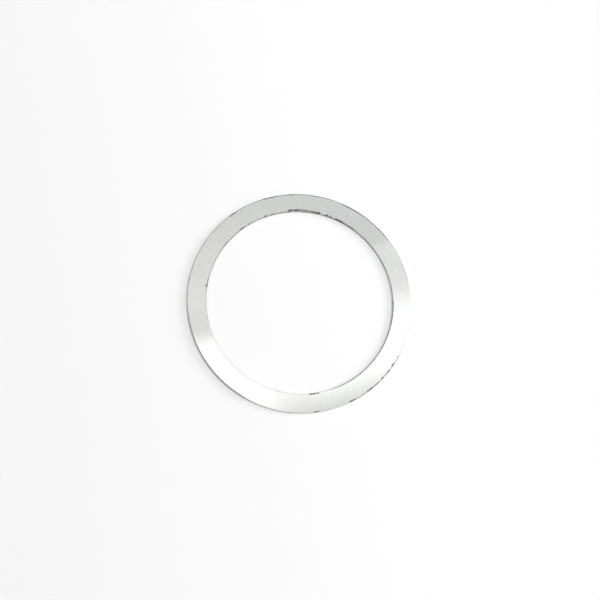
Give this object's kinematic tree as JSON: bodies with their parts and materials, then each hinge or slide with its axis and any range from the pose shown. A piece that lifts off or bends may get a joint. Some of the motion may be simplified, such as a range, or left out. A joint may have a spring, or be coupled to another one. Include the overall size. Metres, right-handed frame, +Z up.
{
  "type": "shim ring",
  "caption": "Thin flat ring of bright steel strip with a wide bore and a narrow face, slid over a shaft to take up end play.",
  "frame": {"origin": "centre of the lower face, on the bore's axis", "axes": "+Z up along the bore, towards the face with the rounded edges; +X and +Y in the plane of the ring"},
  "size_m": [0.12, 0.12, 0.0015],
  "materials": {
    "bright_steel": "cold-rolled strip, bright and slightly mottled, with dark marks along the cut edges"
  },
  "bodies": {
    "root": {"shim_ring": "bright_steel"}
  },
  "joints": []
}
